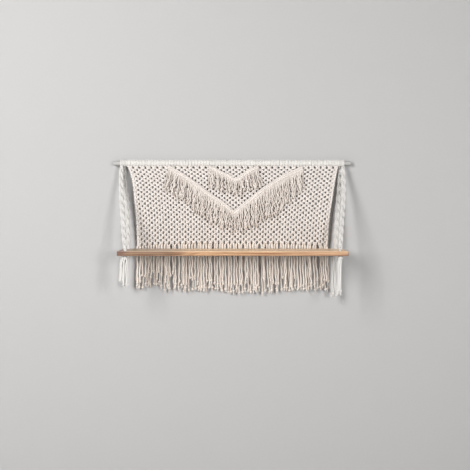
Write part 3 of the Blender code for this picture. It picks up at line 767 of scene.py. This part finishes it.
def strands(tops, ends):
    """Hanging cords: a line from top to end, plus sines of different length and start whose
    size grows from nothing at the top. The last ring is a little frayed."""
    t = np.linspace(0.0, 1.0, STRAND_RINGS)
    count = len(tops)
    path = tops[:, None] + (ends - tops)[:, None] * t[None, :, None]
    long = np.linalg.norm(ends - tops, axis=1)
    for axis, size in ((0, STRAND_SWAY), (1, 0.45 * STRAND_SWAY)):
        for wave in STRAND_WAVES:
            length = wave * random.uniform(0.8, 1.25, (count, 1))
            start = random.uniform(0.0, 2.0 * np.pi, (count, 1))
            share = size * random.uniform(0.4, 1.0, (count, 1)) * wave / STRAND_WAVES[0]
            swing = np.sin(2.0 * np.pi * t * long[:, None] / length + start) - np.sin(start)
            path[:, :, axis] += share * swing * np.minimum(1.0, 2.5 * t)
    radius = np.full((count, STRAND_RINGS), CORD_R) * random.uniform(0.92, 1.08, (count, 1))
    radius[:, -1] *= FRAY
    radius[:, 0] *= 0.9
    return path, radius


def end_knots(paths, share, size, cord=1.6):
    """Overhand knot near the end of each path: nearly a turn and a half of cord round the
    strand, leaning a different way on each."""
    count = len(paths)
    ring = (share * (paths.shape[1] - 1)).astype(int)
    here = paths[np.arange(count), ring]
    t = np.linspace(0.0, 2.0 * np.pi * END_KNOT_TURNS, END_KNOT_RINGS)[None]
    t = t + random.uniform(0.0, 2.0 * np.pi, (count, 1))
    lean = random.uniform(0.5, 1.4, (count, 1))
    rise = np.linspace(1.5, -1.5, END_KNOT_RINGS)[None]
    path = np.stack([here[:, :1] + size * np.cos(t), here[:, 1:2] + size * np.sin(t),
                     here[:, 2:] + lean * np.sin(t + 1.0) + rise], axis=-1)
    return tubes(path, cord, sides=5, shade=0.02)


def bunched(x, sizes, pull, stray):
    """Places of neighbouring strands drawn together in bunches of uneven size: each place
    moves its share of the way to the bunch's middle. Also gives each strand's bunch."""
    bunch = np.repeat(np.arange(len(x)), random.integers(*sizes, len(x)))[:len(x)]
    middle = np.bincount(bunch, x) / np.maximum(1, np.bincount(bunch))
    middle = middle + random.normal(0.0, stray, len(middle))
    return middle[bunch] + (x - middle[bunch]) * pull, bunch


def eased(t, start, end):
    """Share that goes smoothly from 0 at start to 1 at end: 3 u squared less 2 u cubed."""
    u = np.clip((t - start) / (end - start), 0.0, 1.0)
    return u * u * (3.0 - 2.0 * u)


def build_ridge_fringe(size, finish):
    """Cords left hanging from a ridge, in uneven bunches and two layers deep. Over their upper
    part they are painted darker, as shade, the rear layer much more than the front."""
    ridge, ends, drop = RIDGE_FRINGES[size]
    start, stop = ridge[0, 0] + 2.0, ridge[-1, 0] - 2.0
    count = int((stop - start) / STRAND_SPACING)
    x = np.linspace(start, stop, count)
    low_x = np.linspace(ends[0, 0], ends[-1, 0], count)
    drawn, bunch = bunched(low_x, STRAND_BUNCH, STRAND_DRAWN, 2.2)
    front = np.arange(count) % 2
    top_z = np.interp(x, ridge[:, 0], ridge[:, 1]) - drop
    end_z = np.interp(low_x, ends[:, 0], ends[:, 1]) + random.normal(0.0, 7.0, count)
    end_z = end_z + 5.0 * np.sin(bunch * 2.4)
    tops = np.stack([x, RIDGE_Y - 1.8 * front, top_z], axis=1)
    low = np.stack([drawn + random.normal(0.0, 1.3, count),
                    RIDGE_Y - 1.2 - 3.8 * front + random.normal(0.0, 0.8, count), end_z], axis=1)
    path, radius = strands(tops, low)
    # Painted shade: both layers darker below the ridge, the rear one much more.
    full = np.where(front, STRAND_FRONT_PAINTED_SHADE, STRAND_REAR_PAINTED_SHADE)
    tone_and_shade = full[:, None] * eased(np.linspace(0.0, 1.0, STRAND_RINGS), 0.0, 0.4)
    knots = end_knots(path, random.uniform(0.84, 0.93, count), 2.0)
    return make_piece("fringe_cords_" + size, joined(tubes(path, radius, tone_and_shade=tone_and_shade), knots), finish,
                      ["fringe_" + size])


def build_bottom_fringe(finish):
    """The net's own cords below its last row. Each cord goes from its knot to its place in a
    pair, one a little in front of the other, and the pairs drift apart and swing out a little
    as they hang: x = place + the moves, each eased in over its own stretch, + sines. The front
    cords are cut shorter than the ones behind."""
    numbers = np.arange(CORDS)
    tops = np.empty((CORDS, 3))
    for seat in range(4):
        tops[seat::4] = net_cords(numbers[seat::4])[:, -1]
    left, right = FRINGE_SIDES
    even = left + (numbers + 0.5) * (right - left) / CORDS
    pair, front = numbers // 2, numbers % 2 == 1
    middle = (even[::2] + even[1::2])[pair] / 2.0 + random.normal(0.0, 0.6, CORDS // 2)[pair]
    side = np.where(front, PAIR_APART, -PAIR_APART)
    joined_x = middle + side * random.choice((1.0, -1.0), CORDS // 2)[pair]
    drift = random.normal(0.0, 1.2, CORDS // 2)[pair] + random.normal(0.0, 0.5, CORDS)
    end_x = joined_x + drift + LONG_DRIFT + LONG_FLARE * middle / 333.0
    for parting, apart in PARTINGS:
        away = middle - parting
        push = np.sign(away) * apart * np.exp(-np.abs(away) / PARTING_FADE)
        end_x = end_x + 0.9 * push
        joined_x = joined_x + push
    end_z = np.interp(end_x, BOTTOM_FRINGE_ENDS[:, 0], BOTTOM_FRINGE_ENDS[:, 1])
    end_z = end_z + random.normal(0.0, LONG_UNEVEN, CORDS)
    shorter = np.clip(random.normal(27.0, 13.0, CORDS) + 9.0 * np.sin(numbers / 11.0), 6.0, 62.0)
    end_z = end_z + np.where(front, shorter, 0.0)
    depth = NET_Y + np.where(front, LONG_FRONT_OUT, LONG_REAR_IN) + random.normal(0.0, 0.6, CORDS)
    # The rings are closer together near the top, where a cord turns most.
    t = np.concatenate([(0.0, 0.012, 0.026, 0.045, 0.07, 0.10, 0.13, 0.165, 0.20),
                        np.linspace(0.24, 1.0, 20)])
    fan, pairing, hang = eased(t, 0.0, 0.045), eased(t, 0.0, 0.16), eased(t, 0.1, 1.1)
    long = (tops[:, 2] - end_z)[:, None]
    path = np.empty((CORDS, len(t), 3))
    path[:, :, 0] = tops[:, :1] + (joined_x - tops[:, 0])[:, None] * fan + (end_x - joined_x)[:, None] * hang
    path[:, :, 1] = tops[:, 1:2] + (NET_Y - tops[:, 1:2]) * fan + (depth - NET_Y)[:, None] * pairing
    path[:, :, 2] = tops[:, 2:] - long * t
    for wave, size, depth_size in LONG_WAVES:
        length = wave * random.uniform(0.8, 1.25, (CORDS, 1))
        start = random.uniform(0.0, 2.0 * np.pi, (CORDS, 1))
        swing = np.sin(2.0 * np.pi * long * t / length + start) * eased(t, 0.08, 0.3)
        share = random.uniform(0.4, 1.0, (CORDS, 1))
        path[:, :, 0] += size * share * swing
        path[:, :, 1] += depth_size * share * np.roll(swing, 1, axis=0)
    radius = np.full(path.shape[:2], CORD_R) * random.uniform(0.98, 1.10, (CORDS, 1))
    # Painted light and shade: the front cords lighter and the rear ones darker, eased in below the hem.
    tone_and_shade = np.where(front, LONG_FRONT_PAINTED_LIGHT, LONG_REAR_PAINTED_SHADE)[:, None] * eased(t, 0.1, 0.4)
    knots = end_knots(path, random.uniform(0.945, 0.985, CORDS), 2.9, cord=2.0)
    return make_piece("fringe_long", joined(tubes(path, radius, tone_and_shade=tone_and_shade), knots), finish,
                      ["fringe_bottom"])


# ---------------------------------------------------------------- ropes and tassels

BOARD_UNDERSIDE = -313.0
ROPE_ROUTES = {
    # corner: points down the rope as x, y, height, between its hitch and the board
    "left_front": ((-383.5, -27.0, -60.0), (-379.0, -48.5, -110.0), (-373.5, -67.5, -155.0),
                   (-365.5, -92.0, -210.0), (-358.5, -113.5, -258.0), (-354.0, -127.5, -284.0)),
    "left_rear": ((-376.5, -3.5, -60.0), (-371.0, -8.5, -110.0), (-366.5, -13.0, -155.0),
                  (-362.5, -19.5, -210.0), (-359.5, -25.5, -258.0), (-358.2, -28.5, -284.0)),
    "right_front": ((385.5, -27.0, -60.0), (382.5, -48.5, -110.0), (377.0, -67.5, -155.0),
                    (369.5, -92.0, -210.0), (363.0, -113.5, -258.0), (360.0, -127.5, -284.0)),
    "right_rear": ((377.0, -3.5, -60.0), (372.5, -8.5, -110.0), (368.5, -13.0, -155.0),
                   (364.5, -19.5, -210.0), (361.0, -25.5, -258.0), (359.2, -28.5, -284.0)),
}
ROPE_HITCH = {
    # corner: x, angle under the dowel, in degrees out into the room
    "left_front": (-385.2, 36.0),
    "left_rear": (-378.5, -12.0),
    "right_front": (386.6, 36.0),
    "right_rear": (379.6, -12.0),
}
HOLES = {
    # corner: x, y
    "left_front": (-352.0, -135.0),
    "left_rear": (-357.5, -30.0),
    "right_front": (358.5, -135.0),
    "right_rear": (358.5, -30.0),
}
TASSELS = {
    # corner: x and y of its end, heights of its left and right end, half width below the board
    # and at the end
    "left_front": (-359.0, -135.0, -402.0, -417.0, 9.6, 12.0),
    "left_rear": (-367.0, -31.0, -430.0, -434.0, 6.0, 7.5),
    "right_front": (353.0, -135.0, -446.0, -444.0, 4.6, 6.4),
    "right_rear": (350.5, -31.0, -462.0, -468.0, 6.2, 7.6),
}
ROPE_CORD_R = 1.95
PLAIT_PERIOD = 92.0
PLAIT_HALF_WIDTH = 4.0
PLAIT_HALF_DEPTH = 3.5
PLAIT_START = {"left_front": 0.4, "left_rear": 2.1, "right_front": 1.2, "right_rear": 3.6}  # in radians
ROPE_STEP = 3.6                 # between the rings of a rope's cords
HITCH_UNDER = 11.0              # from the dowel's axis to the rope's start under its hitch
ROPE_UPRIGHT = (-289.0, -301.0)  # a rope stands upright above its hole, and in it
KNOT_TURNS = 3.4                # round the bundle below the board
KNOT_CORD_R = 2.1
KNOT_CORE_R = 4.6
TASSEL_CORDS = 6
TASSEL_RINGS = 30
TASSEL_CORD_R = 2.4             # at least; the cords of a wide tassel are thicker


def rope_line(corner):
    """Smooth line down the middle of a rope, from its hitch to the board's underside."""
    x, angle = ROPE_HITCH[corner]
    angle = math.radians(angle)
    under = HITCH_UNDER * np.array((0.0, -math.sin(angle), -math.cos(angle)))
    hitch = np.array((x, 0.0, 0.0)) + under
    upright = [(*HOLES[corner], height) for height in (*ROPE_UPRIGHT, BOARD_UNDERSIDE)]
    points = np.array([hitch, hitch + under, *ROPE_ROUTES[corner], *upright])
    return even_steps(smooth_lines(points[None], 200)[0], ROPE_STEP)


def build_rope(corner, finish):
    """Plait of three strands, each of two cords. A strand's middle is at half width times
    sin t and half depth times sin 2t from the rope's line, with t a turn in each period, and
    the three are a third of a turn apart."""
    line = rope_line(corner)
    gone = np.linspace(0.0, 1.0, len(line)) * np.linalg.norm(np.diff(line, axis=0), axis=1).sum()
    long = gone[-1]
    _, across, other = frames_along(line[None], first=(1.0, 0.0, 0.0))
    # Drawn in where it leaves its hitch and where it enters the board.
    below_hitch = 0.62 + gone / 60.0
    above_board = 0.60 + np.maximum(0.0, long - 22.0 - gone) / 55.0
    width = np.minimum(1.0, np.minimum(below_hitch, above_board))
    cords = []
    for strand in range(3):
        turn = 2.0 * np.pi * (gone / PLAIT_PERIOD + strand / 3.0) + PLAIT_START[corner]
        sideways = PLAIT_HALF_WIDTH * np.sin(turn) * width
        deep = PLAIT_HALF_DEPTH * np.sin(2.0 * turn) * width
        lean = np.arctan(0.30 * np.cos(turn))
        for place in (-1.0, 1.0):
            apart = place * ROPE_CORD_R * 0.92 * width
            cords.append(line + (sideways + apart * np.cos(lean))[:, None] * across[0]
                         + (deep + 0.5 * apart * np.cos(turn))[:, None] * other[0])
    radius = ROPE_CORD_R * (0.75 + 0.25 * width)
    surface = tubes(np.array(cords), radius, sides=8, shade=0.02, twist_length=15.0)
    rope = make_piece("plait_" + corner, surface, finish, ["rope_" + corner])
    return rope, line, long


def build_rope_knot(corner, finish):
    """Knot under the board: one cord's turns, one under the other, round the bundle's core.
    point = hole + reach (cos t, sin t), going down, with the reach widest at half height."""
    x, y = HOLES[corner]
    t = np.linspace(0.0, 2.0 * np.pi * KNOT_TURNS, 56)
    down = np.linspace(0.0, 1.0, len(t))
    reach = 5.2 + 1.2 * np.sin(np.pi * down) + 0.35 * np.sin(3.1 * t)
    path = np.stack([x + reach * np.cos(t), y + reach * np.sin(t),
                     BOARD_UNDERSIDE - 2.6 - 8.5 * down + 1.4 * np.sin(t + 0.6)], axis=1)
    core_z = np.linspace(BOARD_UNDERSIDE - 0.4, BOARD_UNDERSIDE - 13.0, 6)
    core = np.stack([np.full(6, x), np.full(6, y), core_z], axis=1)
    surface = joined(tubes(path[None], KNOT_CORD_R, sides=8), tubes(core[None], KNOT_CORE_R, sides=10))
    return make_piece("rope_knot_" + corner, surface, finish, ["knot_" + corner])


def build_tassel(corner, finish):
    """Six loose cord ends side by side below the knot, each with a small knot at its tip:
    smooth lines out of the knot, over its shoulder and down to the tassel's end, plus sines."""
    x = HOLES[corner][0]
    end_x, end_y, left_z, right_z, wide, end_wide = TASSELS[corner]
    seat = np.linspace(-1.0, 1.0, TASSEL_CORDS)
    deep = np.array((1.3, -1.5, 1.0, -1.3, 1.5, -1.0))
    cut = np.where(seat < 0.0, left_z, right_z) + random.uniform(-1.0, 9.0, TASSEL_CORDS)
    side = 0.75 * end_x + 0.25 * x
    straight_z = BOARD_UNDERSIDE - 34.0
    rows = (
        # x of the middle, half width, depth, height
        (x, 0.35 * wide, 0.6, BOARD_UNDERSIDE - 5.0),
        (x + 0.35 * (side - x), 0.85 * wide, 1.5, BOARD_UNDERSIDE - 6.5),
        (x + 0.6 * (side - x), wide, 1.9, BOARD_UNDERSIDE - 15.0),
        (side, wide, 1.6, straight_z),
        (0.5 * (side + end_x), 0.5 * (wide + end_wide), 1.5, 0.45 * straight_z + 0.55 * cut),
        (end_x, end_wide, 1.6, cut),
    )
    points = np.empty((TASSEL_CORDS, len(rows), 3))
    for number, (middle_x, reach, depth, height) in enumerate(rows):
        points[:, number, 0] = middle_x + reach * seat
        points[:, number, 1] = end_y + depth * deep
        points[:, number, 2] = height
    path = smooth_lines(points, TASSEL_RINGS)
    t = np.linspace(0.0, 1.0, TASSEL_RINGS)
    for axis, size in ((0, 0.7), (1, 0.9)):
        turn = random.uniform(0.0, 2.0 * np.pi, (TASSEL_CORDS, 1))
        turn = turn + 2.0 * np.pi * t * random.uniform(1.4, 3.2, (TASSEL_CORDS, 1))
        path[:, :, axis] += size * np.sin(turn) * eased(t, 0.15, 0.45)
    knots = end_knots(path, random.uniform(0.95, 0.975, TASSEL_CORDS), 2.6, cord=2.0)
    surface = joined(tubes(path, max(TASSEL_CORD_R, 0.31 * wide), sides=8), knots)
    return make_piece("tassel_cords_" + corner, surface, finish, ["tassel_" + corner])


# ---------------------------------------------------------------- the whole shelf

def build_shelf():
    cottons = {name: cotton(name) for name in COTTONS}
    net_cotton, rope_cotton = cottons["natural_cotton"], cottons["natural_cotton_rope"]
    build_dowel(painted_wood())
    build_hitches(cottons["natural_cotton_heading"], rope_cotton)
    nets = build_net(net_cotton)
    rows = [build_ridge(size, net_cotton) for size in RIDGES]
    rows += [build_ridge_fringe(size, cottons["natural_cotton_strands_painted_shade"]) for size in RIDGE_FRINGES]
    rows.append(build_bottom_fringe(cottons["natural_cotton_fringe_painted_shade"]))
    for corner in ROPE_ROUTES:
        rope, line, long = build_rope(corner, rope_cotton)
        knot = build_rope_knot(corner, rope_cotton)
        build_tassel(corner, rope_cotton)
    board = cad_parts["board"]
    board.data.materials.clear()
    board.data.materials.append(oiled_wood())


place_camera()
light_the_room()
build_shelf()
